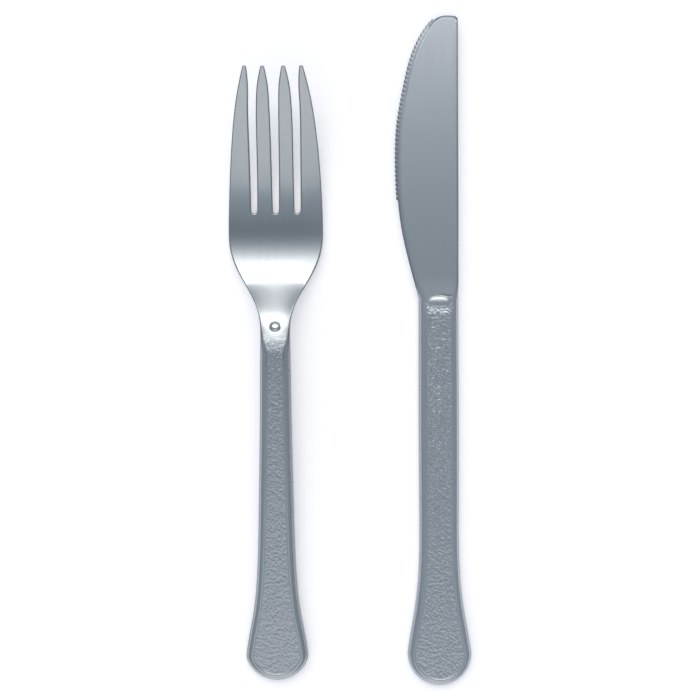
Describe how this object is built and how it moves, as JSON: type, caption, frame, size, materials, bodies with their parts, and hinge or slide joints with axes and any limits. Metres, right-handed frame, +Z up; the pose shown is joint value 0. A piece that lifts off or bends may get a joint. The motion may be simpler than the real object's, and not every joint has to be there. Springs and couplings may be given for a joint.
{
  "type": "plastic cutlery set",
  "caption": "Metallic-look plastic fork and table knife lying side by side, with stippled channel handles, slim tines and a serrated round-tipped blade.",
  "frame": {"origin": "on the table, under the middle of the pair's footprint", "axes": "+Y along both pieces from the handle ends to the tines and blade tip, +X from the fork to the knife, +Z up"},
  "size_m": [0.07, 0.1927, 0.0159],
  "materials": {
    "fork_plastic": "silver-grey metallic-pigment polystyrene, glossy head and fine stippled handle panel",
    "knife_plastic": "silver-grey metallic-pigment polystyrene, glossy blade and fine stippled handle panel"
  },
  "bodies": {
    "root": {"fork": "fork_plastic", "knife": "knife_plastic"}
  },
  "joints": []
}
